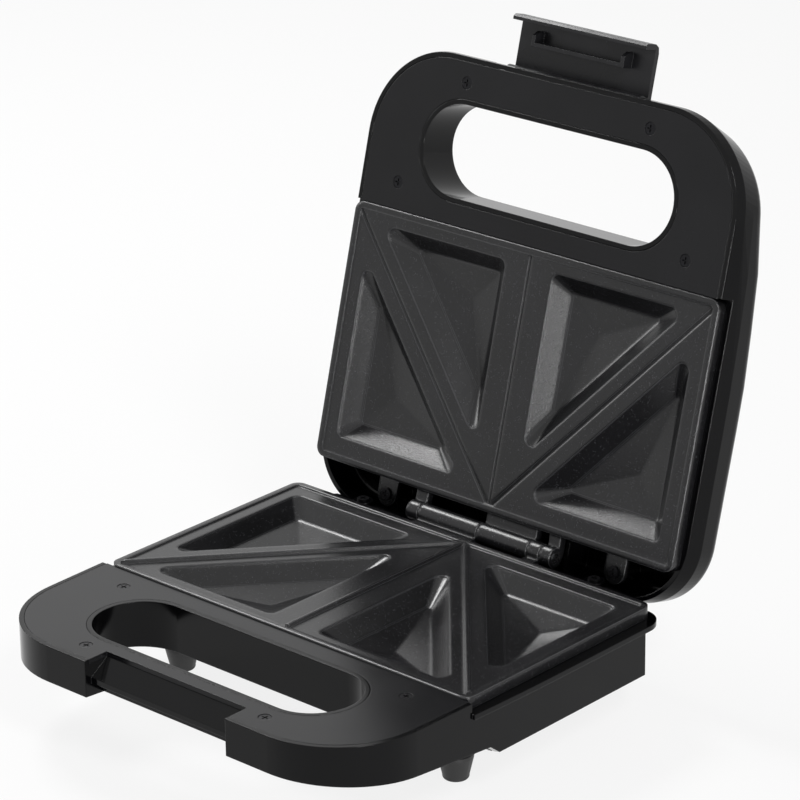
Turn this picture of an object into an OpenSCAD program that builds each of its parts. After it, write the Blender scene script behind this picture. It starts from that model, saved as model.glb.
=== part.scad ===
// Hinged sandwich toaster: two pocketed plates, a loop handle on each half and a latch on the lid.
// The origin is on the table under the middle of the open toaster. +Z is up and the handles point to -Y.

/* [Stance] */
// Height of the lower plate's cooking face above the table
face_h = 54; // [53:1:62]
// How far the lid stands open at its stop
open_angle = 105; // [95:1:105]
// Gap between the two cooking faces when the toaster is closed
face_gap = 1.9; // [1.8:0.1:2.6]

/* [Cooking plates] */
// Width of a cooking plate
plate_w = 224; // [216:2:226]
// Depth of a cooking plate, front to back
plate_d = 129; // [124:1:136]
// Thickness of a plate's face
plate_t = 3; // [2.5:0.5:3.5]
// Height of the band round a plate's edge
band_h = 5; // [4.5:0.5:6]
// Thickness of that band
band_t = 2.5; // [2:0.5:2.5]
// Corner radius of a plate
plate_r = 5; // [4:0.5:8]
// Width of the raised lip round a plate's face
lip_w = 3.2; // [2.5:0.1:3.5]
// Height of that lip
lip_h = 0.7; // [0.4:0.1:0.8]
// Width of the lower plate's crimping ribs at their foot
rib_w = 3.4; // [2.6:0.2:4]
// Height of the crimping ribs
rib_h = 1.4; // [1:0.1:1.5]
// Width of the upper plate's grooves
groove_w = 1.5; // [1:0.1:2]
// Depth of the grooves
groove_d = 1.1; // [0.8:0.1:1.5]

/* [Pockets] */
// Depth of a pocket at the foot of its walls
pocket_d = 8.5; // [7:0.5:9]
// Extra depth where the three floor planes of a pocket meet
dish_d = 3; // [1:0.5:3.5]
// How far a pocket's wall leans inwards from rim to floor
wall_run = 6.5; // [5:0.5:8]
// Corner radius of a pocket's rim
pocket_r = 4; // [3:0.5:5]
// Radius between a pocket's walls and floor
floor_r = 3; // [2:0.5:3.5]
// Land between a plate's side edge and its pockets
side_land = 10.5; // [10:0.5:13]
// Land between a plate's rear edge and its pockets
rear_land = 12; // [11:0.5:14]
// Land between a plate's front edge and its pockets
front_land = 8.8; // [8.6:0.1:11]
// Land between the centre line and the pockets beside it
centre_land = 14.5; // [14:0.5:18]
// Land between a diagonal and the pocket on its handle side
inner_land = 8; // [8:0.5:10]
// Land between a diagonal and the pocket on its outer side
outer_land = 9; // [8.5:0.5:11]

/* [Handles] */
// Reach of the handles beyond the front edge of the plates
handle_reach = 81; // [78:1:88]
// Corner radius of the handles in plan
handle_r = 46; // [40:1:52]
// Half width of a hand opening
grip_hw = 76.5; // [66:0.5:78]
// Depth of a hand opening, front to back
grip_d = 45; // [38:1:46]
// Distance from the plates to a hand opening
grip_y = 13.3; // [12.5:0.1:15]
// Thickness of the handle covers
cover_t = 2.5; // [2:0.1:3]
// Height of the base shell at the front of its handle
base_nose = 18; // [17:1:20]
// Height of the lid shell at the front of its handle
lid_nose = 20; // [20:1:23]
// How far the front of the lid leans back
lid_lean = 5; // [2:0.5:6]

/* [Shells] */
// Wall thickness of both shells
wall = 2.3; // [2:0.1:2.6]
// Half width of the lid and of the base's ledge
shell_hw = 118.5; // [118:0.5:124]
// Half width of the base's side walls
body_hw = 116.3; // [115.7:0.1:117.5]
// Radius of the bow of the lid's sides
lid_bow_r = 1350; // [1200:50:3000]
// Radius of the bow of the base's sides
base_bow_r = 3500; // [2500:100:6000]
// Thickness of the ledges that the plates rest on
ledge_t = 2.5; // [2:0.5:3]
// Height of the base's side walls below the cooking face
base_side = 30; // [29:1:32]
// Depth of the base's belly pan below the cooking face
belly = 41; // [40:1:43]
// Height of the lid above its cooking face
lid_h = 26; // [25:1:30]
// Radius of the lid's top edges
lid_edge_r = 7; // [5:0.5:8]
// Radius of the lid's rear corners in plan
lid_rear_r = 34; // [30:1:40]
// How far the lid's sides flare out above its cooking face
lid_flare = 6.5; // [5:0.5:7]
// Height over which they flare
flare_h = 11; // [8:1:13]
// Reach of the lid behind the hinge axis
lid_tail = 10.5; // [10:0.5:12]
// Size of the chamfer on the base's rear corners
base_chamfer = 21; // [18:1:24]
// Reach of the base's ledge behind the plate
ledge_tail = 3; // [2:0.5:4]

/* [Hinge] */
// Distance from the plates' rear edge to the hinge axis
hinge_back = 10.5; // [10:0.5:11.5]
// Radius of the hinge barrels
barrel_r = 5; // [4.5:0.1:5.2]
// Radius of the hinge pin
hinge_pin_r = 2.5; // [2:0.1:3]
// Radial play of the turning hinge and latch bores
pin_play = 0.05; // [0.02:0.01:0.1]
// Gap between the ends of neighbouring barrels
barrel_gap = 0.5; // [0.3:0.1:1]

/* [Latch] */
// Half width of the latch
latch_hw = 40.4; // [34:0.2:42]
// Half width of the notches that the latch lies in
notch_hw = 43.8; // [43.2:0.2:45]
// Thickness of the latch plate
latch_t = 2.8; // [2.4:0.1:3.2]
// Height of the latch's axis above the lid's cooking face
latch_rise = 10.8; // [10.6:0.1:11.4]
// Distance from the latch's axis to the inner face of its plate
latch_offset = 4.1; // [4:0.05:4.2]
// Radius of the latch's barrel
latch_barrel_r = 3.4; // [3:0.1:3.6]
// Gap between the closed latch and the front of the handles
latch_clear = 0.8; // [0.5:0.1:1]
// Radius of the latch pin
latch_pin_r = 1.5; // [1.2:0.1:1.8]
// Depth of the catch lip's top edge below the base's cooking face
catch_drop = 9.3; // [8.5:0.1:9.6]
// Thickness of the catch lip
catch_t = 2.7; // [2.2:0.1:3]
// Reach of the catch lip in front of the notch's upper edge
catch_reach = 10.3; // [9.5:0.1:10.5]
// Thickness of the latch's hook
hook_t = 2.7; // [2.2:0.1:3]
// Reach of the hook behind the inner face of the latch plate
hook_reach = 7.6; // [6.5:0.1:8]
// Height of the box of ribs inside the latch
finger_rib_h = 6.4; // [5:0.2:6.6]

/* [Feet and fasteners] */
// Sideways distance from the middle to a front foot
front_foot_x = 86.6; // [80:0.2:90]
// Sideways distance from the middle to a rear foot
rear_foot_x = 60; // [50:1:64]
// Distance from the plates' front edge back to the front feet
front_foot_y = 21; // [20:0.5:23.5]
// Distance from the plates' rear edge to the rear feet
rear_foot_y = 4.5; // [2:0.5:8]
// Radius of a foot at its top
foot_r = 8.3; // [7:0.1:9]
// Radius of a foot at the table
foot_tip_r = 6.2; // [5:0.1:7]
// Radius of the screws' heads
head_r = 2.9; // [2.5:0.1:3.1]
// Height of the screws' heads
head_h = 1.1; // [0.9:0.1:1.2]
// Radius of the screws' shanks
shank_r = 1.5; // [1.2:0.1:1.6]
// Radius of the posts that take a screw
post_r = 3.8; // [3.4:0.1:4.2]
// Length of the cover screws' shanks
cover_screw_l = 9; // [7:0.5:10]
// Length of the shanks of the screws that hold the lower plate
plate_screw_l = 13; // [11:0.5:13.5]
// Length of the shanks of the screws that hold the lid's heat shield
shield_screw_l = 7; // [5:0.5:7.5]
// Length of the rear screws' shanks
rear_screw_l = 8; // [6:0.5:8.5]
// Width of the lugs behind the upper plate
lug_w = 12; // [10:0.5:13]
// Thickness of those lugs
lug_t = 2.5; // [2:0.1:3]

/* [Heating] */
// Radius of the tubular heating elements
tube_r = 2.9; // [2.5:0.1:3]
// Centre line radius of the elements' bends
bend_r = 7; // [6:0.5:8]
// Thickness of the heat shields
shield_t = 0.8; // [0.6:0.1:1.2]
// Height of the turned-up rim of a heat shield
shield_rim = 5; // [3:0.5:6]
// Radius of the thermostat's can
thermostat_r = 8; // [6:0.5:9]
// Height of the thermostat's can
thermostat_h = 10; // [8:0.5:10]

/* [Hidden] */

$fn = 64;
eps = 0.02;
play = 0.25;                               // play round a piece that drops into a recess
front = -plate_d / 2;                      // front edge of the plates
rear = plate_d / 2;                        // rear edge of the plates
nose = front - handle_reach;               // front of both handles
hinge_y = rear + hinge_back;
hinge_z = face_h + face_gap / 2;
lid_face = face_h + face_gap;
ledge_z = face_h - band_h;                 // top of the base's ledge
lid_ledge_z = lid_face + band_h;
lid_top = lid_face + lid_h;
base_rear = hinge_y + 0.5;                 // rear wall of the base
edge_z = face_h - base_side;               // lower edge of the base's side walls
belly_z = face_h - belly;
lid_rear = hinge_y + lid_tail;
body_front = front - 0.8;                  // where the handles' rims stop beside the plates
lid_handle_hw = shell_hw - lid_flare;      // half width of the lid's handle at its face
bow_y = -4.5;                              // where the bowed sides reach their full width
cross_t = 3;                               // wall between a handle and the cooking space
grip_mid = front - grip_y - grip_d / 2;
slope_y = front + 40;                      // where the lid starts to slope down to the handle
notch_top = nose + 13.8;                   // upper rear edge of the base's notch
catch_z = face_h - catch_drop;
catch_y = notch_top - catch_reach;
undercut_y = catch_y + 7.5;
latch_y = nose - latch_clear + latch_offset;
latch_z = lid_face + latch_rise;
latch_r = latch_offset + latch_t;          // outer radius of the latch round its axis
hook_z = catch_z - catch_t - 0.3;          // top of the hook when closed
latch_inner = latch_y - latch_offset;
latch_outer = latch_inner - latch_t;
latch_foot = hook_z - hook_t;
// the outer lower edge of the closed latch's plate, as [y, z]
latch_edge = [[latch_outer, latch_foot + 4.5], [latch_outer + 0.8, latch_foot + 1.4], [latch_inner + 0.4, latch_foot]];
// shift that puts the origin midway between the handles' front and the open latch's tip
mid_y = -(nose + max([for (p = latch_edge) opened_y(p)])) / 2;
ear_t = 5;                                 // walls that carry the latch pin
recess_y = latch_y + latch_r + 0.7;        // rear wall of the lid's latch recess
cover_screws = [[88.4, front - 13.5], [55.9, front - 68.5]];
post_x = min(plate_w / 2 - 9, shell_hw - wall - head_r - 2.5);
plate_posts = [[post_x, front + 24], [17, rear - 8]];
feet = [for (s = [-1, 1]) each [[s * front_foot_x, front + front_foot_y], [s * rear_foot_x, rear - rear_foot_y]]];
base_boss = [73, rear + 5.5];
lid_boss = [72, hinge_y];
lid_boss_h = 13.1;                         // height of the lid's rear bosses above its cooking face
shield_z = face_h - 16.5;                  // top of the base's heat shield
lens_r = 3;
lens_at = [14, front - 7.5];                 // in the strip between the hand opening and the plate
bushing_x = 66;
bushing_z = edge_z + 8;
bushing_r = 4.5;
hinge_hl = 46;                             // half length of the hinge pin
// spans of the hinge barrels along the axis, as [from, to]
base_barrels = [[-37.5, -barrel_gap], [31.5, 38.5]];
lid_barrels = [[-45, -37.5 - barrel_gap], [0, 31.5 - barrel_gap], [38.5 + barrel_gap, 45.5]];

// the right-hand diagonal runs from the rear centre of a plate to its front corner
diag_a = [0, rear - 2];
diag_b = [plate_w / 2 - 2, front + 3];
diag_u = (diag_b - diag_a) / norm(diag_b - diag_a);
diag_n = [-diag_u[1], diag_u[0]];
diag_turn = atan2(diag_u[1], diag_u[0]);
function diag_y(x, d) = diag_a[1] + (d - diag_n[0] * (x - diag_a[0])) / diag_n[1];
function diag_x(y, d) = diag_a[0] + (d - diag_n[1] * (y - diag_a[1])) / diag_n[0];

// corners of the pockets' outlines, moved inwards by inset: right-angled corner first
function inner_pocket(inset) = let (x = centre_land + inset, y = front + front_land + inset,
  d = -inner_land - inset) [[x, y], [diag_x(y, d), y], [x, diag_y(x, d)]];
function outer_pocket(inset) = let (x = plate_w / 2 - side_land - inset, y = rear - rear_land - inset,
  d = outer_land + inset) [[x, y], [x, diag_y(x, d)], [diag_x(y, d), y]];
function incentre(p) = let (a = norm(p[1] - p[2]), b = norm(p[2] - p[0]), c = norm(p[0] - p[1]))
  (a * p[0] + b * p[1] + c * p[2]) / (a + b + c);
function outward(p, q, inside) = let (u = (q - p) / norm(q - p), n = [u[1], -u[0]])
  n * (inside - p) > 0 ? -n : n;

// tubular element: axis height, front run and the spots of its four clamps along the diagonals
tube_z = face_h - plate_t - tube_r - 0.05;
run_y = front + (band_t + front_land) / 2;
end_x = 10;
drop_r = 5;                                // bend from the plate down to the element's ends
clamp_z = tube_z - tube_r - 0.05;
clamp_w = tube_r + 2.9;
clamp_spots = [0.32, 0.72];
strap_t = 1.5;

// x of a bowed side at a given y, and height of the lid's sloping top
function bow_x(hw, bow, y) = y > bow_y ? hw : hw - bow + sqrt(pow(bow, 2) - pow(bow_y - y, 2));
function lid_top_at(y) = y > slope_y ? lid_top
  : lid_top - (lid_h - lid_nose) * (slope_y - y) / (slope_y - nose);

// y of a point of the closed latch once the lid and the latch are open
function opened_y(p) = hinge_y + (latch_y + p[1] - latch_z - hinge_y) * cos(open_angle)
  + (latch_z - p[0] + latch_y - hinge_z) * sin(open_angle);

module centred() {
  translate([0, mid_y, 0]) children();
}

module both_sides() {
  children();
  mirror([1, 0, 0]) children();
}

module lid_frame() {
  translate([0, hinge_y, hinge_z]) rotate([-open_angle, 0, 0]) translate([0, -hinge_y, -hinge_z]) children();
}

module latch_frame() {
  lid_frame() translate([0, latch_y, latch_z]) rotate([-90, 0, 0]) translate([0, -latch_y, -latch_z])
    children();
}

// turns a piece drawn for the base's face into its opposite number on the lid's face
module on_lid_face() {
  translate([0, 0, lid_face + face_h]) mirror([0, 0, 1]) children();
}

// extrudes a profile drawn in the YZ plane across the toaster
module across(x0, x1) {
  translate([x0, 0, 0]) rotate([90, 0, 90]) linear_extrude(x1 - x0) children();
}

module slab(z0, z1) {
  translate([0, 0, z0]) linear_extrude(z1 - z0) children();
}

module region(x0, x1, y0, y1) {
  translate([x0, y0]) square([x1 - x0, y1 - y0]);
}

module round_rect(w, d, r) {
  square([w - 2 * r, d], center = true);
  square([w, d - 2 * r], center = true);
  for (x = [-1, 1], y = [-1, 1]) translate([x * (w / 2 - r), y * (d / 2 - r)]) circle(r);
}

module round_triangle(p, r) {
  mid = (p[0] + p[1] + p[2]) / 3;
  polygon([for (i = [0:2]) let (j = (i + 1) % 3, n = outward(p[i], p[j], mid)) each [p[i] + r * n, p[j] + r * n]]);
  for (c = p) translate(c) circle(r);
}

// plan of a shell, t inside its outer face: round front corners, bowed sides, round rear corners
function corner_at(hw, bow, r) =
  [hw - bow + sqrt(pow(bow - r, 2) - pow(nose + r - bow_y, 2)), nose + r];
module plan(hw, bow, r, y1, r1, t) {
  r0 = r - t;
  c = [hw - bow, bow_y];
  corner = corner_at(hw, bow, r);
  touch = c + (corner - c) * (bow + 20) / (bow - r);
  both_sides() {
    region(-eps, corner[0], nose + t, y1 - t - r1);
    translate(corner) circle(r0, $fn = 128);
    intersection() {
      translate(c) circle(bow - t, $fn = 1440);
      polygon([[0, corner[1]], corner, touch, [hw + 20, bow_y], [0, bow_y]]);
    }
    region(-eps, hw - t, bow_y, y1 - max(r1, t));
    if (r1 > 0) {
      region(-eps, hw - r1, y1 - r1 - eps, y1 - t);
      translate([hw - r1, y1 - r1]) circle(r1 - t, $fn = 128);
    }
  }
}

// plan of the lid's handle at its face
module handle_plan(t) {
  both_sides() {
    region(-eps, lid_handle_hw - handle_r, nose + t, front);
    region(-eps, lid_handle_hw - t, nose + handle_r, front);
    translate([lid_handle_hw - handle_r, nose + handle_r]) circle(handle_r - t, $fn = 128);
  }
}

module base_plan(t) {
  cut = body_hw + base_rear - base_chamfer - t * sqrt(2);
  intersection() {
    plan(body_hw, base_bow_r, handle_r, base_rear, 0, t);
    polygon([[-cut, 0], [-cut, nose - 10], [cut, nose - 10], [cut, 0], [0, cut]]);
  }
}

module grip(more) {
  r = grip_d / 2 + more;
  x = grip_hw - grip_d / 2;
  translate([0, grip_mid]) {
    square([2 * x, 2 * r], center = true);
    for (s = [-1, 1]) translate([s * x, 0]) circle(r);
  }
}

// a screw with a cross recess, its head's top at the origin and its shank pointing down
module screw(length) {
  difference() {
    translate([0, 0, -head_h]) cylinder(r = head_r, h = head_h);
    for (a = [0, 90]) rotate(a) translate([-head_r * 0.6, -0.35, -head_h * 0.6]) cube([head_r * 1.2, 0.7, head_h]);
  }
  translate([0, 0, -head_h - length]) cylinder(r = shank_r, h = length + eps);
}

/* ---- cooking plates ---- */

module pocket_cut(rim, floor, mid) {
  hull() {
    for (c = rim) translate([c[0], c[1], face_h - 0.6]) cylinder(r = pocket_r, h = 2, $fn = 32);
    for (c = floor) translate([c[0], c[1], face_h - pocket_d + floor_r]) sphere(floor_r, $fn = 24);
    translate([mid[0], mid[1], face_h - pocket_d - dish_d + 1.5]) sphere(1.5, $fn = 16);
  }
}

module pocket_bowl(rim, low) {
  step_z = face_h - 0.9 * pocket_d;
  slab(step_z, face_h - plate_t + 0.5) round_triangle(rim, pocket_r);
  slab(face_h - pocket_d - dish_d - plate_t, step_z + eps) round_triangle(low, pocket_r);
}

// straight lines along the centre and the diagonals, with the given section
module seams(section) {
  intersection() {
    slab(face_h - 3, face_h + 3) square([plate_w - 2 * lip_w - 1.2, plate_d - 2 * lip_w - 1.2], center = true);
    union() {
      translate([0, front, face_h]) rotate([90, 0, 180]) linear_extrude(plate_d) polygon(section);
      both_sides() translate([diag_a[0], diag_a[1], face_h]) rotate([0, 0, diag_turn]) translate([-6, 0, 0])
        rotate([90, 0, 90]) linear_extrude(norm(diag_b - diag_a) + 12) polygon(section);
    }
  }
}

module at_clamps() {
  both_sides() for (k = clamp_spots) let (p = diag_a + k * (diag_b - diag_a))
    translate([p[0], p[1], 0]) rotate([0, 0, diag_turn]) children();
}

module at_posts() {
  for (p = plate_posts, s = [-1, 1]) translate([s * p[0], p[1], 0]) children();
}

module plate_bores(bore_r) {
  both_sides() {
    pocket_cut(inner_pocket(pocket_r), inner_pocket(floor_r + wall_run), incentre(inner_pocket(pocket_r)));
    pocket_cut(outer_pocket(pocket_r), outer_pocket(floor_r + wall_run), incentre(outer_pocket(pocket_r)));
  }
  at_clamps() for (s = [-1, 1]) translate([0, s * clamp_w, clamp_z - 1]) cylinder(r = 1.1, h = 5);
  at_posts() translate([0, 0, shield_z - 1]) cylinder(r = shank_r, h = 9);
  translate([-60, hinge_y, hinge_z]) rotate([0, 90, 0]) cylinder(r = bore_r, h = 120);
}

module plate_body(barrels) {
  slab(face_h - plate_t, face_h) round_rect(plate_w, plate_d, plate_r);
  difference() {
    slab(ledge_z, face_h + lip_h) round_rect(plate_w, plate_d, plate_r);
    slab(ledge_z - 1, face_h - plate_t + 0.5)
      round_rect(plate_w - 2 * band_t, plate_d - 2 * band_t, plate_r - band_t + 0.5);
    slab(face_h - 0.5, face_h + lip_h + 1)
      round_rect(plate_w - 2 * lip_w, plate_d - 2 * lip_w, max(plate_r - lip_w, 0.8));
  }
  both_sides() {
    pocket_bowl(inner_pocket(pocket_r), inner_pocket(pocket_r + 4));
    pocket_bowl(outer_pocket(pocket_r), outer_pocket(pocket_r + 4));
  }
  at_clamps() for (s = [-1, 1]) translate([0, s * clamp_w, clamp_z]) cylinder(r = 2.2, h = face_h - plate_t - clamp_z + 0.5);
  at_posts() translate([0, 0, shield_z]) cylinder(r = post_r, h = face_h - plate_t - shield_z + 0.5);
  for (b = barrels) {
    translate([b[0], hinge_y, hinge_z]) rotate([0, 90, 0]) cylinder(r = barrel_r, h = b[1] - b[0]);
    translate([b[0], rear - band_t, ledge_z + 0.45]) cube([b[1] - b[0], hinge_back + band_t, band_h - 0.8]);
  }
}

// lugs that reach back from the upper plate's band to the bosses beside the hinge
module lugs() {
  top = face_h - lid_boss_h + lug_t;
  for (s = [-1, 1]) difference() {
    union() {
      slab(top - lug_t, ledge_z + 1) region(s * lid_boss[0] - lug_w / 2, s * lid_boss[0] + lug_w / 2, rear - band_t, rear);
      slab(top - lug_t, top) {
        region(s * lid_boss[0] - lug_w / 2, s * lid_boss[0] + lug_w / 2, rear - band_t, lid_boss[1]);
        translate([s * lid_boss[0], lid_boss[1]]) circle(lug_w / 2);
      }
    }
    translate([s * lid_boss[0], lid_boss[1], top - lug_t - 1]) cylinder(r = shank_r, h = lug_t + 2);
  }
}

module base_plate() color("#3d3d3f") centred() {
  difference() {
    union() {
      plate_body(base_barrels);
      seams([[-rib_w / 2, -0.3], [rib_w / 2, -0.3], [rib_w / 4, rib_h], [-rib_w / 4, rib_h]]);
    }
    plate_bores(hinge_pin_r);
  }
}

module lid_plate() color("#3d3d3f") centred() lid_frame() on_lid_face() {
  difference() {
    plate_body(lid_barrels);
    plate_bores(hinge_pin_r + pin_play);
    seams([[-groove_w / 2, -groove_d], [groove_w / 2, -groove_d], [groove_w / 2, 2], [-groove_w / 2, 2]]);
  }
  lugs();
}

module hinge_pin() color("#b9bbbd") centred() translate([-hinge_hl, hinge_y, hinge_z]) rotate([0, 90, 0])
  cylinder(r = hinge_pin_r, h = 2 * hinge_hl);

/* ---- heating: one element, four clamps and a shield behind each plate ---- */

module tube_run(p, q) {
  translate([p[0], p[1], tube_z]) rotate([0, 0, atan2(q[1] - p[1], q[0] - p[0])]) rotate([0, 90, 0])
    cylinder(r = tube_r, h = norm(q - p));
}

module element() {
  end = [end_x, diag_y(end_x, 0)];
  meet = [diag_x(run_y, 0), run_y];
  sweep = 180 + diag_turn;                 // the tube turns through this angle at the front corner
  back = bend_r * tan(sweep / 2);
  leave = meet - [back, 0];
  lap = 3;                                 // angle that a bend runs on inside the straight tubes
  bent_r = tube_r - 0.06;                  // a tube thins a little where it is bent
  tube_run([-leave[0], run_y], leave);
  both_sides() {
    tube_run(end + drop_r * diag_u, meet - back * diag_u);
    translate([leave[0], leave[1] + bend_r, tube_z]) rotate([0, 0, -90 - lap])
      rotate_extrude(angle = sweep + 2 * lap) translate([bend_r, 0]) circle(bent_r);
    translate([end[0], end[1], tube_z - drop_r]) rotate([0, 0, diag_turn]) translate([drop_r, 0, 0])
      rotate([90, 0, 0]) rotate([0, 0, 90 - lap]) rotate_extrude(angle = 90 + 2 * lap)
      translate([drop_r, 0]) circle(bent_r);
    translate([end[0], end[1], tube_z - drop_r - 7]) cylinder(r = tube_r, h = 7);
    translate([end[0], end[1], tube_z - drop_r - 11]) cylinder(r = 1.2, h = 5);
  }
}

module element_clamps() {
  at_clamps() difference() {
    translate([-4, -clamp_w - 1.9, clamp_z - strap_t]) cube([8, 2 * clamp_w + 3.8, strap_t]);
    for (s = [-1, 1]) translate([0, s * clamp_w, clamp_z - strap_t - 1]) cylinder(r = 1.2, h = strap_t + 2);
  }
}

module clamp_screws() {
  at_clamps() for (s = [-1, 1]) translate([0, s * clamp_w, clamp_z - strap_t]) {
    translate([0, 0, -1]) cylinder(r = 1.8, h = 1);
    cylinder(r = 1.1, h = strap_t + 3.5);
  }
}

// folded tray behind an element, with two screwed ears reaching back at height ear_z
module heat_shield(ear, ear_z, eared) {
  w = plate_w - 2 * band_t - 3;
  d = plate_d - 2 * band_t - 1;
  difference() {
    union() {
      slab(shield_z - shield_t, shield_z) round_rect(w, d, plate_r);
      difference() {
        slab(shield_z - shield_t, shield_z + shield_rim) round_rect(w, d, plate_r);
        slab(shield_z, shield_z + shield_rim + 1)
          round_rect(w - 2 * shield_t, d - 2 * shield_t, plate_r - shield_t);
      }
      if (eared) for (s = [-1, 1]) translate([s * ear[0] - 7, 0, 0]) {
        slab(shield_z - shield_t, ear_z) region(0, 14, d / 2 - shield_t, d / 2);
        slab(ear_z - shield_t, ear_z) region(0, 14, d / 2 - shield_t, ear[1] + 3);
      }
    }
    at_posts() translate([0, 0, shield_z - 2]) cylinder(r = shank_r, h = 4);
    for (s = [-1, 1]) {
      translate([s * end_x, diag_y(end_x, 0), shield_z - 2]) cylinder(r = tube_r + 1, h = 4);
      if (eared) translate([s * ear[0], ear[1], ear_z - 2]) cylinder(r = shank_r, h = 4);
    }
  }
}

module base_heating_element() color("#8d8a86") centred() element();
module lid_heating_element() color("#8d8a86") centred() lid_frame() on_lid_face() element();
module base_element_clamps() color("#b0b2b4") centred() element_clamps();
module lid_element_clamps() color("#b0b2b4") centred() lid_frame() on_lid_face() element_clamps();
module base_clamp_screws() color("#a7a9ab") centred() clamp_screws();
module lid_clamp_screws() color("#a7a9ab") centred() lid_frame() on_lid_face() clamp_screws();
module base_heat_shield() color("#b4b6b8") centred() heat_shield(base_boss, ledge_z - ledge_t, true);
module lid_heat_shield() color("#b4b6b8") centred() lid_frame() on_lid_face() heat_shield(lid_boss, ledge_z, false);

/* ---- handle covers ---- */

module cover(at_z, notched) {
  difference() {
    slab(at_z, at_z + cover_t) difference() {
      intersection() {
        children();
        region(-200, 200, nose - 10, front - 0.3);
      }
      grip(wall + play);
      if (notched) region(-notch_hw, notch_hw, nose - 10, notch_top);
    }
    for (p = cover_screws, s = [-1, 1]) translate([s * p[0], p[1], at_z - 1]) cylinder(r = shank_r + 0.2, h = cover_t + 2);
    for (p = cover_screws, s = [-1, 1]) translate([s * p[0], p[1], at_z + cover_t - head_h - 0.2])
      cylinder(r = head_r + 0.2, h = head_h + 1);
  }
}

module cover_screw_set() {
  for (p = cover_screws, s = [-1, 1]) translate([s * p[0], p[1], face_h - 0.2]) screw(cover_screw_l);
}

module base_handle_cover() color("#1d1d1f") centred() cover(face_h - cover_t, true)
  plan(body_hw, base_bow_r, handle_r, rear, 0, wall + play);
module lid_handle_cover() color("#1d1d1f") centred() lid_frame() on_lid_face() cover(face_h - cover_t, false)
  handle_plan(wall + play);
module base_cover_screws() color("#2a2a2c") centred() cover_screw_set();
module lid_cover_screws() color("#2a2a2c") centred() lid_frame() on_lid_face() cover_screw_set();

/* ---- base shell ---- */

// the base's block, t inside its outer face: sloping handle floor, chamfered belly pan
module base_block(t) {
  slope = (base_side - base_nose) / (66 + handle_reach);
  nose_z = face_h - base_nose + t;
  intersection() {
    slab(belly_z - 1, face_h + (t > 0 ? 5 : 0)) base_plan(t);
    union() {
      across(-200, 200) polygon([[nose - 5, nose_z + 5 * slope], [front + 66, edge_z + t], [base_rear + 5, edge_z + t],
        [base_rear + 5, face_h + 10], [nose - 5, face_h + 10]]);
      intersection() {
        across(-200, 200) polygon([[front + 6 + t, nose_z - slope * handle_reach + 3], [front + 31 + t / 2, belly_z + t],
          [base_rear - 12 - t / 2, belly_z + t], [base_rear + 0.5 - t, edge_z + 0.5], [base_rear + 0.5 - t, edge_z + 10]]);
        translate([0, 100, 0]) rotate([90, 0, 0]) linear_extrude(200) polygon([
          [-body_hw - 1 + t, edge_z + 0.6], [-body_hw + 19 + t / 2, belly_z + t], [body_hw - 19 - t / 2, belly_z + t],
          [body_hw + 1 - t, edge_z + 0.6], [body_hw + 1 - t, 60], [-body_hw - 1 + t, 60]]);
      }
    }
  }
}

module catch_section() {
  back = undercut_y + 2.5;
  polygon([[notch_top + 7.7, face_h - cover_t], [notch_top, face_h - cover_t], [catch_y, catch_z],
    [catch_y, catch_z - catch_t], [undercut_y, catch_z - catch_t], [undercut_y, 20], [back, 20],
    [back, face_h - cover_t - 2.5], [notch_top + 7.7, face_h - cover_t - 2.5]]);
}

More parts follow.
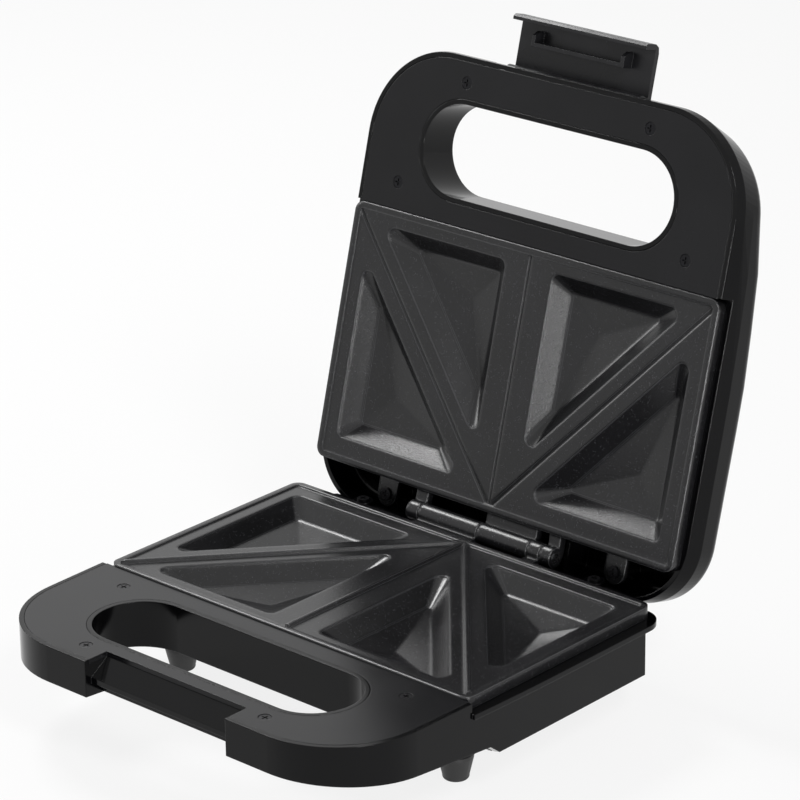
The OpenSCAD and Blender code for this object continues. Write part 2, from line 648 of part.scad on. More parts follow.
module base_shell() color("#141415") centred() {
  under_cover = face_h - cover_t;
  screw_seat = shield_z - shield_t - 6;
  difference() {
    union() {
      difference() {
        base_block(0);
        base_block(wall);
        slab(ledge_z, 100) region(-200, 200, body_front, 200);
      }
      intersection() {
        base_block(wall / 2);
        union() {
          slab(0, face_h) difference() {
            grip(wall);
            grip(-eps);
          }
          slab(0, under_cover) region(-200, 200, body_front - cross_t, body_front);
          slab(ledge_z - ledge_t, ledge_z) region(-200, 200, body_front - cross_t, 200);
          across(-notch_hw - 2.5, notch_hw + 2.5) catch_section();
          for (s = [-1, 1]) slab(0, under_cover)
            region(s * (notch_hw + 1.25) - 1.25, s * (notch_hw + 1.25) + 1.25, nose, notch_top + 7.7);
          for (p = cover_screws, s = [-1, 1]) translate([s * p[0], p[1], 0]) cylinder(r = post_r, h = under_cover);
          at_posts() cylinder(r = post_r + 1.2, h = shield_z - shield_t);
          for (f = feet) translate(f) cylinder(r = 3.5, h = belly_z + 12);
        }
      }
      intersection() {
        slab(ledge_z - ledge_t, ledge_z) plan(shell_hw, lid_bow_r, handle_r, rear + ledge_tail, 12, 0);
        slab(0, 100) region(-200, 200, body_front, 200);
      }
      for (f = feet) translate([f[0], f[1], belly_z]) cylinder(r = foot_r + 0.7, h = 14);
      for (s = [-1, 1]) translate([s * base_boss[0], base_boss[1], ledge_z - eps]) cylinder(r = 5, h = 4.6);
    }
    slab(0, 100) grip(0);
    slab(ledge_z - 10, 100) round_rect(plate_w - 2 * band_t, plate_d - 2 * band_t, plate_r);
    difference() {
      slab(0, 100) region(-notch_hw, notch_hw, nose - 10, notch_top + 1);
      across(-100, 100) catch_section();
      slab(0, 100) region(-200, 200, undercut_y + 1, 0);
    }
    across(-notch_hw, notch_hw) polygon([[notch_top + 1, face_h + 5], [notch_top + 1, under_cover + 0.01],
      [notch_top, under_cover], [catch_y, catch_z], [nose - 5, catch_z], [nose - 5, face_h + 5]]);
    for (p = cover_screws, s = [-1, 1]) translate([s * p[0], p[1], under_cover - 9]) cylinder(r = shank_r, h = 12);
    for (s = [-1, 1]) translate([s * base_boss[0], base_boss[1], ledge_z - 6]) cylinder(r = shank_r, h = 15);
    at_posts() {
      cylinder(r = shank_r, h = shield_z + 1);
      cylinder(r = head_r + 0.3, h = screw_seat);
    }
    for (f = feet) translate([f[0], f[1], belly_z - 1]) cylinder(r = 2, h = 8);
    translate([bushing_x, base_rear + 5, bushing_z]) rotate([90, 0, 0]) cylinder(r = bushing_r + 0.1, h = 10);
  }
}

module base_feet() color("#222223") centred() {
  for (f = feet) translate(f) rotate_extrude() {
    difference() {
      polygon([[0, 0], [foot_tip_r, 0], [foot_tip_r, 2], [foot_r, belly_z - 2], [foot_r, belly_z], [2, belly_z],
        [2, belly_z + 6], [0, belly_z + 6]]);
      translate([foot_tip_r - 1.5, 0]) difference() {
        translate([0, -1]) square([3, 2.5]);
        translate([0, 1.5]) circle(1.5);
      }
    }
  }
}

module base_plate_screws() color("#a7a9ab") centred() {
  at_posts() translate([0, 0, shield_z - shield_t - 6]) mirror([0, 0, 1]) translate([0, 0, head_h]) screw(plate_screw_l);
}

module base_rear_screws() color("#2a2a2c") centred() {
  for (s = [-1, 1]) translate([s * base_boss[0], base_boss[1], ledge_z + 4.6 + head_h - eps]) screw(rear_screw_l + 0.5);
}

module terminal_block() color("#e6e3da") centred() {
  top = belly_z + wall;
  difference() {
    translate([-16, 18, top]) cube([32, 14, 9]);
    for (x = [-10.5, 0, 10.5]) {
      translate([x, 17, top + 4.5]) rotate([-90, 0, 0]) cylinder(r = 1.8, h = 16);
      translate([x, 21.5, top + 4]) cylinder(r = 1.5, h = 6);
      translate([x, 28.5, top + 4]) cylinder(r = 1.5, h = 6);
    }
  }
}

module cord_bushing() color("#222223") centred() {
  translate([bushing_x, base_rear, bushing_z]) rotate([90, 0, 0]) difference() {
    union() {
      translate([0, 0, -1.5]) cylinder(r = bushing_r + 1.5, h = 1.5);
      cylinder(r = bushing_r, h = wall);
      translate([0, 0, wall]) cylinder(r = bushing_r + 1.5, h = 3);
    }
    translate([0, 0, -5]) cylinder(r = bushing_r - 1.3, h = 15);
  }
}

/* ---- lid, drawn closed and then swung open ---- */

module pad(x, y, r, z0, z1, e, n) {
  translate([x, y, z0]) rotate_extrude($fn = n) {
    square([r - e, z1 - z0]);
    square([r, z1 - z0 - e]);
    intersection() {
      translate([r - e, z1 - z0 - e]) circle(e, $fn = 32);
      square([r, z1 - z0]);
    }
  }
}

// the lid's block, t inside its outer face: its sides flare out above the cooking face
function lid_hw(z) = shell_hw - lid_flare * (1 - min(1, (z - lid_face) / flare_h));
module lid_block(t, z0, n) {
  e = max(lid_edge_r - t, 1);
  front_x = corner_at(shell_hw, lid_bow_r, handle_r)[0];
  front_y = nose + handle_r;
  step = lid_lean / 2;
  flare_z = lid_face + flare_h;
  hull() both_sides() {
    pad(shell_hw - lid_rear_r, lid_rear - lid_rear_r, lid_rear_r - t, flare_z, lid_top - t, e, n);
    for (y = [front - 12, front + 15, slope_y, bow_y]) pad(bow_x(shell_hw, lid_bow_r, y) - lid_edge_r, y,
      lid_edge_r - t, flare_z, lid_top_at(y) - t, lid_edge_r - t - 0.5, 32);
    pad(front_x + step, front_y + step, handle_r - step - t, flare_z - 1, lid_top_at(nose + lid_lean + 3) - t, e, n);
    for (z = [z0, lid_face + 4]) translate([lid_hw(z) - handle_r, front_y, z]) cylinder(r = handle_r - t, h = 0.2, $fn = n);
    translate([lid_hw(z0) - lid_rear_r, lid_rear - lid_rear_r, z0]) cylinder(r = lid_rear_r - t, h = 0.2, $fn = n);
  }
}

module lid_shell() color("#141415") centred() lid_frame() {
  over_cover = lid_face + cover_t;
  boss_z = lid_face + lid_boss_h;
  difference() {
    union() {
      difference() {
        lid_block(0, lid_face, 96);
        lid_block(wall, lid_face - 5, 64);
        slab(0, lid_ledge_z) region(-200, 200, body_front, 200);
      }
      intersection() {
        lid_block(wall / 2, lid_face, 48);
        union() {
          slab(lid_face, 200) difference() {
            grip(wall);
            grip(-eps);
          }
          slab(over_cover, 200) region(-200, 200, body_front - cross_t, body_front);
          slab(lid_ledge_z, lid_ledge_z + ledge_t) region(-200, 200, body_front - cross_t, rear);
          for (s = [-1, 1]) slab(over_cover, 200)
            region(s * (notch_hw + ear_t / 2) - ear_t / 2, s * (notch_hw + ear_t / 2) + ear_t / 2, nose, recess_y + 2.5);
          slab(over_cover, 200) region(-notch_hw - ear_t, notch_hw + ear_t, recess_y, recess_y + 2.5);
          for (p = cover_screws, s = [-1, 1]) translate([s * p[0], p[1], over_cover]) cylinder(r = post_r, h = 40);
          for (s = [-1, 1]) translate([s * lid_boss[0], lid_boss[1], boss_z]) cylinder(r = 5.5, h = 40);
          for (s = [-1, 1]) slab(lid_ledge_z + 3, 200) region(s * 45 - 0.8, s * 45 + 0.8, rear + 3, lid_rear);
          for (s = [-1, 1]) translate([s * lens_at[0], lens_at[1], lid_top - 10]) cylinder(r = lens_r + 0.4, h = 10);
        }
      }
    }
    slab(0, 200) grip(0);
    slab(0, lid_ledge_z + 10) region(-plate_w / 2 + band_t, plate_w / 2 - band_t, front + band_t, rear + 0.02);
    slab(over_cover + 0.5, 200) region(-notch_hw, notch_hw, nose - 10, recess_y);
    for (p = cover_screws, s = [-1, 1]) translate([s * p[0], p[1], over_cover - 1]) cylinder(r = shank_r, h = 10);
    for (s = [-1, 1]) translate([s * lid_boss[0], lid_boss[1], boss_z - 1]) cylinder(r = shank_r, h = 10);
    for (s = [-1, 1]) translate([s * lens_at[0], lens_at[1], lid_top - 20]) cylinder(r = lens_r, h = 40);
    translate([-notch_hw - ear_t, latch_y, latch_z]) rotate([0, 90, 0]) cylinder(r = latch_pin_r, h = 2 * (notch_hw + ear_t));
  }
}

module lid_plate_screws() color("#a7a9ab") centred() lid_frame() on_lid_face() at_posts()
  translate([0, 0, shield_z - shield_t]) mirror([0, 0, 1]) translate([0, 0, head_h]) screw(shield_screw_l);

module lid_rear_screws() color("#2a2a2c") centred() lid_frame() {
  for (s = [-1, 1]) translate([s * lid_boss[0], lid_boss[1], lid_face + lid_boss_h - lug_t - head_h])
    mirror([0, 0, 1]) screw(rear_screw_l);
}

module thermostat() color("#d9d6cc") centred() lid_frame() on_lid_face() {
  translate([0, front + 60, face_h - plate_t - thermostat_h]) {
    cylinder(r = thermostat_r, h = thermostat_h);
    for (x = [-1, 1]) translate([x * thermostat_r * 0.56 - 0.4, -1.6, -2.5]) cube([0.8, 3.2, 3]);
  }
}

module lens_at_side(s) {
  lid_frame() translate([s * lens_at[0], lens_at[1], lid_top_at(lens_at[1])]) difference() {
    union() {
      translate([0, 0, -8]) cylinder(r = lens_r, h = 8.5);
      translate([0, 0, 0.3]) cylinder(r1 = lens_r + 0.7, r2 = lens_r, h = 0.9);
    }
    translate([0, 0, -9]) cylinder(r = lens_r - 0.8, h = 8);
  }
}

module power_lens() color("#c22a20") centred() lens_at_side(-1);
module ready_lens() color("#2f9e44") centred() lens_at_side(1);

module neon_lamps() color("#e8b48c") centred() lid_frame() {
  for (s = [-1, 1]) translate([s * lens_at[0], lens_at[1], lid_top_at(lens_at[1]) - 12]) {
    cylinder(r = lens_r - 0.9, h = 8);
    translate([0, 0, 8]) sphere(lens_r - 0.9);
  }
}

module latch_pin() color("#b9bbbd") centred() lid_frame() translate([-notch_hw - ear_t + 0.5, latch_y, latch_z])
  rotate([0, 90, 0]) cylinder(r = latch_pin_r, h = 2 * (notch_hw + ear_t) - 1);

module latch() color("#161617") centred() latch_frame() {
  box_z = hook_z + 3.4;                    // lower end of the box of ribs, clear of the catch lip
  difference() {
    union() {
      translate([-latch_hw, latch_y, latch_z]) rotate([0, 90, 0]) cylinder(r = latch_barrel_r, h = 2 * latch_hw);
      across(-latch_hw, latch_hw) polygon([[latch_outer, latch_z + 1], each latch_edge,
        [latch_inner + hook_reach - 1.2, latch_foot], [latch_inner + hook_reach, latch_foot + 1.2],
        [latch_inner + hook_reach, hook_z], [latch_inner, hook_z], [latch_inner, latch_z - 2.4],
        [latch_y, latch_z - 2.4], [latch_y, latch_z + 2.4], [latch_outer + 1.4, latch_z + 2.4]]);
      for (x = [-28, 26]) across(x, x + 2) polygon([[latch_inner - 1, box_z], [latch_inner + 3.2, box_z],
        [latch_inner + finger_rib_h, box_z + 2.2], [latch_inner + finger_rib_h, box_z + 7.5],
        [latch_inner - 1, box_z + 7.5]]);
      slab(box_z + 5.5, box_z + 7.5) region(-27, 27, latch_inner - 1, latch_inner + finger_rib_h);
    }
    translate([-latch_hw - 1, latch_y, latch_z]) rotate([0, 90, 0]) cylinder(r = latch_pin_r + pin_play, h = 2 * latch_hw + 2);
  }
}

base_shell();
base_handle_cover();
base_plate();
base_heating_element();
base_element_clamps();
base_clamp_screws();
base_heat_shield();
base_plate_screws();
base_cover_screws();
base_rear_screws();
base_feet();
terminal_block();
cord_bushing();
hinge_pin();
lid_shell();
lid_handle_cover();
lid_plate();
lid_heating_element();
lid_element_clamps();
lid_clamp_screws();
lid_heat_shield();
lid_plate_screws();
lid_cover_screws();
lid_rear_screws();
thermostat();
power_lens();
ready_lens();
neon_lamps();
latch_pin();
latch();
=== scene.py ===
import math
import bpy
from mathutils import Matrix, Vector

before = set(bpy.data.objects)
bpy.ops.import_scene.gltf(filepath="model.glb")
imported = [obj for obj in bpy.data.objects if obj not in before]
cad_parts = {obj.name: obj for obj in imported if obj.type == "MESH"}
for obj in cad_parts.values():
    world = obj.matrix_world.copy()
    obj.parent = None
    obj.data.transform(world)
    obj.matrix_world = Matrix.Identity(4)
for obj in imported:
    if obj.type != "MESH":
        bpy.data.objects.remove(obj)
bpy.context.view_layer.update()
print("frame loaded:", len(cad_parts), "nodes")


def linearColor(hexColor):
    # sRGB hex to the linear values that the shader sockets take
    parts = [int(hexColor[i:i + 2], 16) / 255 for i in (1, 3, 5)]
    return [c / 12.92 if c <= 0.04045 else ((c + 0.055) / 1.055) ** 2.4 for c in parts] + [1.0]


def addNode(owner, kind, settings=None, links=None):
    # owner: a material or the world; settings: attribute or input to its value;
    # links: input to the socket that feeds it
    tree = owner.node_tree
    node = tree.nodes.new(kind)
    for name, value in (settings or {}).items():
        if isinstance(name, str) and hasattr(node, name):
            setattr(node, name, value)
        else:
            node.inputs[name].default_value = value
    for name, socket in (links or {}).items():
        tree.links.new(socket, node.inputs[name])
    return node


def newMaterial(name):
    material = bpy.data.materials.new(name)
    material.use_nodes = True
    material.node_tree.nodes.clear()
    return material


def rampBetween(material, socket, low, high, colorLow, colorHigh):
    ramp = addNode(material, "ShaderNodeValToRGB", links={"Fac": socket})
    ramp.color_ramp.elements[0].position = low
    ramp.color_ramp.elements[1].position = high
    ramp.color_ramp.elements[0].color = colorLow
    ramp.color_ramp.elements[1].color = colorHigh
    return ramp


def finishMaterial(material, shader):
    addNode(material, "ShaderNodeOutputMaterial", links={"Surface": shader.outputs[0]})
    return material


bumpHeight = {"grain": 0.00004, "peel": 0.00014, "line": 0.00003}  # metres


# Moulded plastic or rubber: a clean dielectric shine with faint flow unevenness in it
def mouldedPlastic(name, settings):
    material = newMaterial(name)
    place = addNode(material, "ShaderNodeTexCoord").outputs["Object"]
    flow = addNode(material, "ShaderNodeTexNoise",
                   {"Scale": 1000 / settings["flowMm"], "Detail": 2.0, "Roughness": 0.5}, {"Vector": place})
    grain = addNode(material, "ShaderNodeTexNoise",
                    {"Scale": 1000 / settings["grainMm"], "Detail": 3.0, "Roughness": 0.6}, {"Vector": place})
    tone = rampBetween(material, flow.outputs["Fac"], 0.3, 0.7,
                       linearColor(settings["colorLow"]), linearColor(settings["colorHigh"]))
    rough = addNode(material, "ShaderNodeMapRange",
                    {"From Min": 0.3, "From Max": 0.7,
                     "To Min": settings["roughLow"], "To Max": settings["roughHigh"]},
                    {"Value": flow.outputs["Fac"]})
    edge = addNode(material, "ShaderNodeBevel", {"samples": 6, "Radius": settings["edgeMm"] / 1000})
    bump = addNode(material, "ShaderNodeBump", {"Strength": settings["bump"], "Distance": bumpHeight["grain"]},
                   {"Height": grain.outputs["Fac"], "Normal": edge.outputs["Normal"]})
    shader = addNode(material, "ShaderNodeBsdfPrincipled", {"IOR": settings["ior"]},
                     {"Base Color": tone.outputs["Color"], "Roughness": rough.outputs["Result"],
                      "Normal": bump.outputs["Normal"]})
    return finishMaterial(material, shader)


# Sprayed PTFE non-stick on cast aluminium: dark grey with fine lighter flecks, a satin shine, and edges and
# ridges painted lighter, partly as edge wear and partly as a painted highlight
def nonStickCoat(name, settings):
    material = newMaterial(name)
    place = addNode(material, "ShaderNodeTexCoord").outputs["Object"]
    cloud = addNode(material, "ShaderNodeTexNoise",
                    {"Scale": 1000 / settings["cloudMm"], "Detail": 4.0, "Roughness": 0.6}, {"Vector": place})
    tone = rampBetween(material, cloud.outputs["Fac"], 0.35, 0.68,
                       linearColor(settings["colorLow"]), linearColor(settings["colorHigh"]))
    flecks = addNode(material, "ShaderNodeTexVoronoi", {"Scale": 1000 / settings["fleckMm"]},
                     {"Vector": place})
    fleckMask = rampBetween(material, flecks.outputs["Distance"], 0.12, 0.3, (1, 1, 1, 1), (0, 0, 0, 1))
    fleckPick = addNode(material, "ShaderNodeTexNoise",
                        {"Scale": 1000 / (settings["fleckMm"] * 2.6), "Detail": 1.0}, {"Vector": place})
    pick = rampBetween(material, fleckPick.outputs["Fac"], 0.52, 0.62, (0, 0, 0, 1), (0.75, 0.75, 0.75, 1))
    fleckAmount = addNode(material, "ShaderNodeMath", {"operation": "MULTIPLY"},
                          {0: fleckMask.outputs["Color"], 1: pick.outputs["Color"]})
    colour = addNode(material, "ShaderNodeMix", {"data_type": "RGBA", 7: linearColor(settings["fleckColor"])},
                     {0: fleckAmount.outputs[0], 6: tone.outputs["Color"]})
    # A lighter grey is mixed in along every edge and ridge, found from the bevelled normal: partly edge wear,
    # partly a painted highlight standing in for the light that such edges catch
    rounded = addNode(material, "ShaderNodeBevel", {"samples": 8, "Radius": settings["edgeMm"] / 1000})
    facing = addNode(material, "ShaderNodeNewGeometry")
    bend = addNode(material, "ShaderNodeVectorMath", {"operation": "DOT_PRODUCT"},
                   {0: rounded.outputs["Normal"], 1: facing.outputs["Normal"]})
    edgeWearAndHighlight = addNode(material, "ShaderNodeMapRange",
                   {"From Min": 0.9996, "From Max": 0.997, "To Min": 0.0, "To Max": settings["edgeWearAndHighlight"]},
                   {"Value": bend.outputs["Value"]})
    wornAndHighlightedColour = addNode(material, "ShaderNodeMix", {"data_type": "RGBA", 7: linearColor(settings["edgeWearHighlightColor"])},
                   {0: edgeWearAndHighlight.outputs["Result"], 6: colour.outputs[2]})
    rough = addNode(material, "ShaderNodeMapRange",
                    {"From Min": 0.3, "From Max": 0.7,
                     "To Min": settings["roughLow"], "To Max": settings["roughHigh"]},
                    {"Value": cloud.outputs["Fac"]})
    soft = addNode(material, "ShaderNodeBevel", {"samples": 8, "Radius": settings["softMm"] / 1000})
    peel = addNode(material, "ShaderNodeTexNoise",
                   {"Scale": 1000 / settings["peelMm"], "Detail": 3.0, "Roughness": 0.65}, {"Vector": place})
    bump = addNode(material, "ShaderNodeBump", {"Strength": settings["bump"], "Distance": bumpHeight["peel"]},
                   {"Height": peel.outputs["Fac"], "Normal": soft.outputs["Normal"]})
    shader = addNode(material, "ShaderNodeBsdfPrincipled", {"IOR": 1.42},
                     {"Base Color": wornAndHighlightedColour.outputs[2], "Roughness": rough.outputs["Result"],
                      "Normal": bump.outputs["Normal"]})
    return finishMaterial(material, shader)


# Bare or plated metal: drawn wire, zinc-plated screws, rolled sheet
def plainMetal(name, settings):
    material = newMaterial(name)
    place = addNode(material, "ShaderNodeTexCoord").outputs["Object"]
    stretch = addNode(material, "ShaderNodeMapping", {"Scale": settings["stretch"]}, {"Vector": place})
    lines = addNode(material, "ShaderNodeTexNoise",
                    {"Scale": 1000 / settings["lineMm"], "Detail": 4.0, "Roughness": 0.6},
                    {"Vector": stretch.outputs["Vector"]})
    tone = rampBetween(material, lines.outputs["Fac"], 0.3, 0.7,
                       linearColor(settings["colorLow"]), linearColor(settings["colorHigh"]))
    rough = addNode(material, "ShaderNodeMapRange",
                    {"From Min": 0.3, "From Max": 0.7,
                     "To Min": settings["roughLow"], "To Max": settings["roughHigh"]},
                    {"Value": lines.outputs["Fac"]})
    bump = addNode(material, "ShaderNodeBump", {"Strength": 0.15, "Distance": bumpHeight["line"]},
                   {"Height": lines.outputs["Fac"]})
    shader = addNode(material, "ShaderNodeBsdfPrincipled", {"Metallic": settings["metallic"]},
                     {"Base Color": tone.outputs["Color"], "Roughness": rough.outputs["Result"],
                      "Normal": bump.outputs["Normal"]})
    return finishMaterial(material, shader)


# Tinted polycarbonate lens over a neon lamp, unlit: deep colour with a clear gloss
def tintedLens(name, settings):
    material = newMaterial(name)
    place = addNode(material, "ShaderNodeTexCoord").outputs["Object"]
    swirl = addNode(material, "ShaderNodeTexNoise", {"Scale": 1000 / settings["swirlMm"], "Detail": 2.0},
                    {"Vector": place})
    tone = rampBetween(material, swirl.outputs["Fac"], 0.3, 0.7,
                       linearColor(settings["colorLow"]), linearColor(settings["colorHigh"]))
    shader = addNode(material, "ShaderNodeBsdfPrincipled",
                     {"IOR": 1.58, "Roughness": 0.08, "Transmission Weight": settings["clear"]},
                     {"Base Color": tone.outputs["Color"]})
    return finishMaterial(material, shader)


# the ior of shell, cover and latch is matched below the typical 1.5 of such plastics: the white studio
# fills every reflection, and a higher value would turn the blacks grey
shellPlastic = mouldedPlastic("polished gloss black ABS", {
    "colorLow": "#030304", "colorHigh": "#060607", "flowMm": 60, "grainMm": 0.9, "roughLow": 0.11,
    "roughHigh": 0.16, "bump": 0.05, "ior": 1.26, "edgeMm": 0.6})
coverPlastic = mouldedPlastic("satin gloss black ABS", {
    "colorLow": "#0e0e10", "colorHigh": "#131315", "flowMm": 45, "grainMm": 0.7, "roughLow": 0.2,
    "roughHigh": 0.27, "bump": 0.08, "ior": 1.3, "edgeMm": 0.45})
latchPlastic = mouldedPlastic("moulded black nylon", {
    "colorLow": "#141416", "colorHigh": "#1c1c1e", "flowMm": 20, "grainMm": 0.6, "roughLow": 0.25,
    "roughHigh": 0.36, "bump": 0.1, "ior": 1.32, "edgeMm": 0.4})
footRubber = mouldedPlastic("moulded black rubber", {
    "colorLow": "#151515", "colorHigh": "#1c1c1c", "flowMm": 12, "grainMm": 0.5, "roughLow": 0.45,
    "roughHigh": 0.6, "bump": 0.25, "ior": 1.52, "edgeMm": 0.6})
creamCeramic = mouldedPlastic("pressed steatite ceramic", {
    "colorLow": "#d9d4c4", "colorHigh": "#e8e4d7", "flowMm": 5, "grainMm": 0.3, "roughLow": 0.6,
    "roughHigh": 0.75, "bump": 0.3, "ior": 1.55, "edgeMm": 0.3})
# The plate coat paints its edges and ridges in a lighter grey: partly edge wear, partly a painted highlight
plateCoat = nonStickCoat("sprayed ptfe non-stick on cast aluminium", {
    "colorLow": "#141415", "colorHigh": "#1a1a1c", "cloudMm": 30, "fleckMm": 0.8,
    "fleckColor": "#5a5a5e", "edgeWearHighlightColor": "#747477", "edgeWearAndHighlight": 0.18,
    "peelMm": 1.0, "roughLow": 0.19, "roughHigh": 0.26, "bump": 0.4, "edgeMm": 0.5, "softMm": 2.4})
drawnSteel = plainMetal("drawn bright steel wire", {
    "colorLow": "#9a9c9e", "colorHigh": "#b4b6b8", "lineMm": 0.6, "stretch": (0.05, 1, 1), "metallic": 1.0,
    "roughLow": 0.2, "roughHigh": 0.34})
zincSteel = plainMetal("zinc plated steel", {
    "colorLow": "#a0a2a4", "colorHigh": "#b9bbbc", "lineMm": 1.2, "stretch": (1, 1, 1), "metallic": 1.0,
    "roughLow": 0.28, "roughHigh": 0.42})
blackSteel = plainMetal("black oxide steel", {
    "colorLow": "#19191b", "colorHigh": "#262628", "lineMm": 0.8, "stretch": (1, 1, 1), "metallic": 0.9,
    "roughLow": 0.28, "roughHigh": 0.4})
sheathSteel = plainMetal("annealed steel element sheath", {
    "colorLow": "#5d574f", "colorHigh": "#7b756c", "lineMm": 2.0, "stretch": (1, 1, 1), "metallic": 1.0,
    "roughLow": 0.45, "roughHigh": 0.6})
sheetAluminium = plainMetal("rolled aluminium sheet", {
    "colorLow": "#b4b6b8", "colorHigh": "#cacccd", "lineMm": 1.0, "stretch": (0.06, 1, 1), "metallic": 1.0,
    "roughLow": 0.25, "roughHigh": 0.38})
redLens = tintedLens("tinted red polycarbonate", {
    "colorLow": "#8a0d0a", "colorHigh": "#b0150f", "swirlMm": 3, "clear": 0.35})
greenLens = tintedLens("tinted green polycarbonate", {
    "colorLow": "#0e5a1e", "colorHigh": "#14802c", "swirlMm": 3, "clear": 0.35})
neonGlass = tintedLens("clear neon lamp glass", {
    "colorLow": "#d8b8a0", "colorHigh": "#ecd2bd", "swirlMm": 2, "clear": 0.8})

nodeMaterials = {
    "base_shell": shellPlastic, "lid_shell": shellPlastic,
    "base_handle_cover": coverPlastic, "lid_handle_cover": coverPlastic,
    "base_plate": plateCoat, "lid_plate": plateCoat,
    "base_heating_element": sheathSteel, "lid_heating_element": sheathSteel,
    "base_element_clamps": zincSteel, "lid_element_clamps": zincSteel,
    "base_clamp_screws": zincSteel, "lid_clamp_screws": zincSteel,
    "base_plate_screws": zincSteel, "lid_plate_screws": zincSteel,
    "base_heat_shield": sheetAluminium, "lid_heat_shield": sheetAluminium,
    "base_cover_screws": blackSteel, "lid_cover_screws": blackSteel,
    "base_rear_screws": blackSteel, "lid_rear_screws": blackSteel,
    "base_feet": footRubber, "cord_bushing": footRubber,
    "terminal_block": creamCeramic, "thermostat": creamCeramic,
    "hinge_pin": drawnSteel, "latch_pin": drawnSteel,
    "power_lens": redLens, "ready_lens": greenLens, "neon_lamps": neonGlass, "latch": latchPlastic}
for nodeName, material in nodeMaterials.items():
    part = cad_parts[nodeName]
    if not part.material_slots:
        part.data.materials.append(material)
    for materialSlot in part.material_slots:
        materialSlot.material = material
print("materials set on", len(nodeMaterials), "nodes")

# camera: turned and placed by a fit to the plate corners, hinge line and handle outlines
cameraFit = {"azimuth": 42.351, "elevation": 21.784, "roll": 0.8, "focalPixels": 3811.0, "frameWidth": 800,
             "slide": (-53.978, -104.131), "distance": 1728.58, "plateFront": -69.382, "plateFace": 54.0}


def setCamera(fit):
    az, el, roll = (math.radians(fit[k]) for k in ("azimuth", "elevation", "roll"))
    ahead = Vector((-math.sin(az) * math.cos(el), math.cos(az) * math.cos(el), -math.sin(el)))
    right = Vector((math.cos(az), math.sin(az), 0))
    turn = Matrix((right, right.cross(ahead), -ahead))
    turn = Matrix(((math.cos(roll), -math.sin(roll), 0), (math.sin(roll), math.cos(roll), 0), (0, 0, 1))) @ turn
    place = turn.transposed() @ Vector((-fit["slide"][0], -fit["slide"][1], fit["distance"]))
    place += Vector((0, fit["plateFront"], fit["plateFace"]))
    camera = bpy.data.objects.new("camera", bpy.data.cameras.new("camera"))
    bpy.context.scene.collection.objects.link(camera)
    camera.matrix_world = Matrix.Translation(place / 1000) @ turn.transposed().to_4x4()
    camera.data.sensor_width = 36.0
    camera.data.lens = fit["focalPixels"] / fit["frameWidth"] * 36.0
    camera.data.clip_start = 0.05
    camera.data.clip_end = 50
    bpy.context.scene.camera = camera


setCamera(cameraFit)
print("camera set")

floor = {"size": 12.0, "color": "#f2f2f2", "roughness": 0.6, "whiteness": 0.85}


def seenDirectly(owner):
    # 1 for rays from the camera, in a gloss or through glass, which all see the white studio
    path = addNode(owner, "ShaderNodeLightPath")
    mirrored = addNode(owner, "ShaderNodeMath", {"operation": "MAXIMUM"},
                       {0: path.outputs["Is Glossy Ray"], 1: path.outputs["Is Transmission Ray"]})
    seen = addNode(owner, "ShaderNodeMath", {"operation": "MAXIMUM"},
                   {0: path.outputs["Is Camera Ray"], 1: mirrored.outputs[0]})
    return seen.outputs[0]


def addFloor(spec):
    bpy.ops.object.select_all(action="DESELECT")
    bpy.ops.mesh.primitive_plane_add(size=spec["size"], location=(0, 0, 0))
    ground = bpy.context.object
    ground.name = "floor"
    material = newMaterial("white studio floor paper")
    matt = addNode(material, "ShaderNodeBsdfPrincipled",
                   {"Base Color": linearColor(spec["color"]), "Roughness": spec["roughness"]})
    shown = addNode(material, "ShaderNodeEmission", {"Color": (1, 1, 1, 1), "Strength": 1.0})
    amount = addNode(material, "ShaderNodeMath", {"operation": "MULTIPLY", 1: spec["whiteness"]},
                     {0: seenDirectly(material)})
    blend = addNode(material, "ShaderNodeMixShader",
                    links={0: amount.outputs[0], 1: matt.outputs[0], 2: shown.outputs[0]})
    finishMaterial(material, blend)
    ground.data.materials.append(material)


addFloor(floor)
print("floor laid")


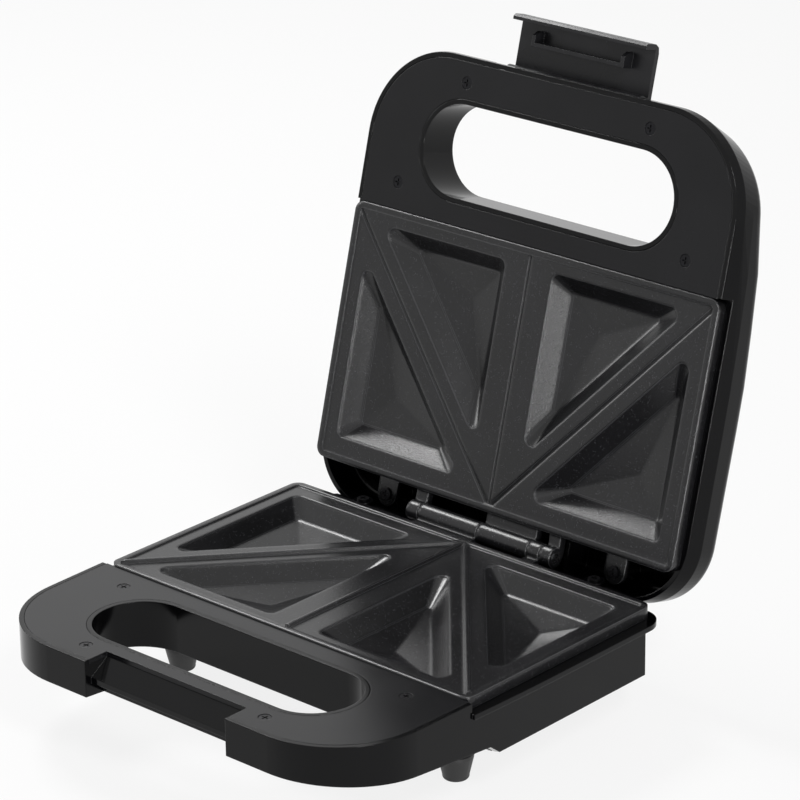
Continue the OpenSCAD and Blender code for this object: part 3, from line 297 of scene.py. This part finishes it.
def addSoftbox(spec):
    light = bpy.data.lights.new(spec["name"], "AREA")
    light.shape = "RECTANGLE"
    light.size, light.size_y = spec["size"]
    light.energy = spec["energy"]
    holder = bpy.data.objects.new(spec["name"], light)
    bpy.context.scene.collection.objects.link(holder)
    holder.location = spec["place"]
    holder.rotation_mode = "QUATERNION"
    holder.rotation_quaternion = (Vector(spec["aim"]) - Vector(spec["place"])).to_track_quat("-Z", "Y")


softboxes = [
    {"name": "upper left softbox", "size": (0.42, 0.42), "energy": 12,
     "place": (-0.96, 0.28, 1.2), "aim": (0, 0, 0.1)},
    {"name": "upper right softbox", "size": (0.45, 0.45), "energy": 12,
     "place": (1.12, -0.42, 1.25), "aim": (0, 0, 0.15)},
    {"name": "low right softbox", "size": (0.5, 0.26), "energy": 14,
     "place": (1.56, -0.74, 0.15), "aim": (0, 0, 0.15)},
    {"name": "left softbox", "size": (0.45, 0.45), "energy": 5,
     "place": (-1.5, -0.42, 0.66), "aim": (0, 0, 0.1)},
    {"name": "back left softbox", "size": (1.1, 0.8), "energy": 0.8,
     "place": (-1.5, 1.3, 0.8), "aim": (0, -0.1, 0.05)},
    {"name": "front fill", "size": (1.0, 0.6), "energy": 1,
     "place": (0.4, -1.8, 1.0), "aim": (0, 0, 0.1)}]
for softbox in softboxes:
    addSoftbox(softbox)

studio = {"roomStrength": 0.12, "seenStrength": 1.0}  # 1 is white


def addWorld(spec):
    world = bpy.data.worlds.new("studio")
    bpy.context.scene.world = world
    world.use_nodes = True
    world.node_tree.nodes.clear()
    white = (1, 1, 1, 1)
    roomLight = addNode(world, "ShaderNodeBackground", {"Color": white, "Strength": spec["roomStrength"]})
    seenLight = addNode(world, "ShaderNodeBackground", {"Color": white, "Strength": spec["seenStrength"]})
    mixed = addNode(world, "ShaderNodeMixShader",
                    links={0: seenDirectly(world), 1: roomLight.outputs[0], 2: seenLight.outputs[0]})
    addNode(world, "ShaderNodeOutputWorld", links={"Surface": mixed.outputs[0]})


addWorld(studio)
bpy.context.scene.view_settings.view_transform = "Standard"
print("lights set")
